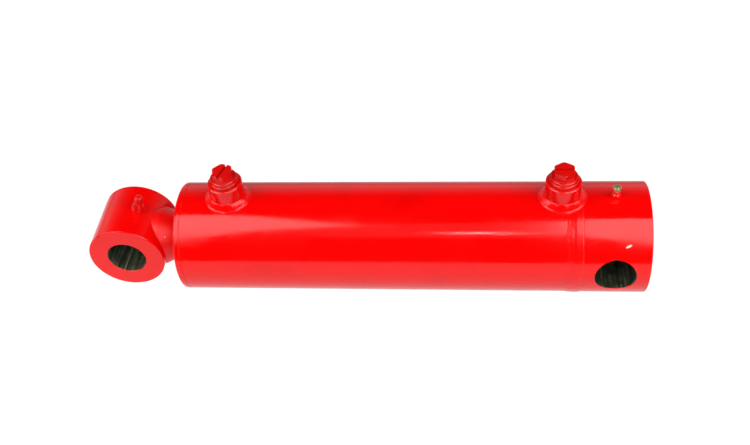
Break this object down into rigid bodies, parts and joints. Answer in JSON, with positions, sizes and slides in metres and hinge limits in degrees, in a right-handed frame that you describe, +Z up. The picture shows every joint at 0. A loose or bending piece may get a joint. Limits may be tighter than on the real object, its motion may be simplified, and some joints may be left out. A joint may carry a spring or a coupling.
{
  "type": "hydraulic cylinder",
  "caption": "Red-painted welded cross-tube hydraulic cylinder with a sliding chrome piston rod, plugged ports and greased pin bores at both ends.",
  "frame": {"origin": "centre of the base pin bore", "axes": "+X along the barrel, out of the base end (the rod eye lies at -X); +Y along the base pin bore; +Z up through the two ports"},
  "size_m": [0.4592, 0.0914, 0.1194],
  "materials": {
    "red_paint": "gloss red enamel",
    "plug_plastic": "plastic plug sprayed over with the same red enamel",
    "chrome_rod": "ground hard chrome, red overspray on the stub by the eye",
    "zinc_steel": "yellow zinc plate",
    "bright_steel": "bright",
    "piston_iron": "machined",
    "seal_rubber": "satin nitrile",
    "guide_nylon": "filled nylon",
    "ptfe": "white PTFE"
  },
  "bodies": {
    "barrel": {"barrel_tube": "red_paint", "base_block": "red_paint", "base_weld": "red_paint", "rod_port_boss": "red_paint", "base_port_boss": "red_paint", "rod_port_weld": "red_paint", "base_port_weld": "red_paint", "rod_port_plug": "plug_plastic", "base_port_plug": "plug_plastic", "plug_o_rings": "seal_rubber", "gland": "red_paint", "wiper_seal": "seal_rubber", "rod_seal": "seal_rubber", "rod_guide_ring": "guide_nylon", "gland_o_ring": "seal_rubber", "gland_backup_ring": "ptfe", "base_grease_nipple": "zinc_steel", "base_nipple_ball": "bright_steel", "base_nipple_spring": "bright_steel"},
    "piston_rings": {"piston_seal": "ptfe", "piston_energizer": "seal_rubber", "piston_wear_rings": "guide_nylon"},
    "rod": {"rod": "chrome_rod", "rod_eye": "red_paint", "rod_eye_weld": "red_paint", "piston": "piston_iron", "piston_o_ring": "seal_rubber", "piston_nut": "zinc_steel", "eye_grease_nipple": "red_paint", "eye_nipple_ball": "bright_steel", "eye_nipple_spring": "bright_steel"}
  },
  "joints": [
    {"name": "rod_slide", "type": "slide", "parent": "barrel", "child": "piston_rings", "axis": [-1, 0, 0], "range_m": [0, 0.2032]},
    {"name": "rod_swivel", "type": "hinge", "parent": "piston_rings", "child": "rod", "pos_m": [-0.0755, 0, 0], "axis": [1, 0, 0], "continuous": true}
  ]
}
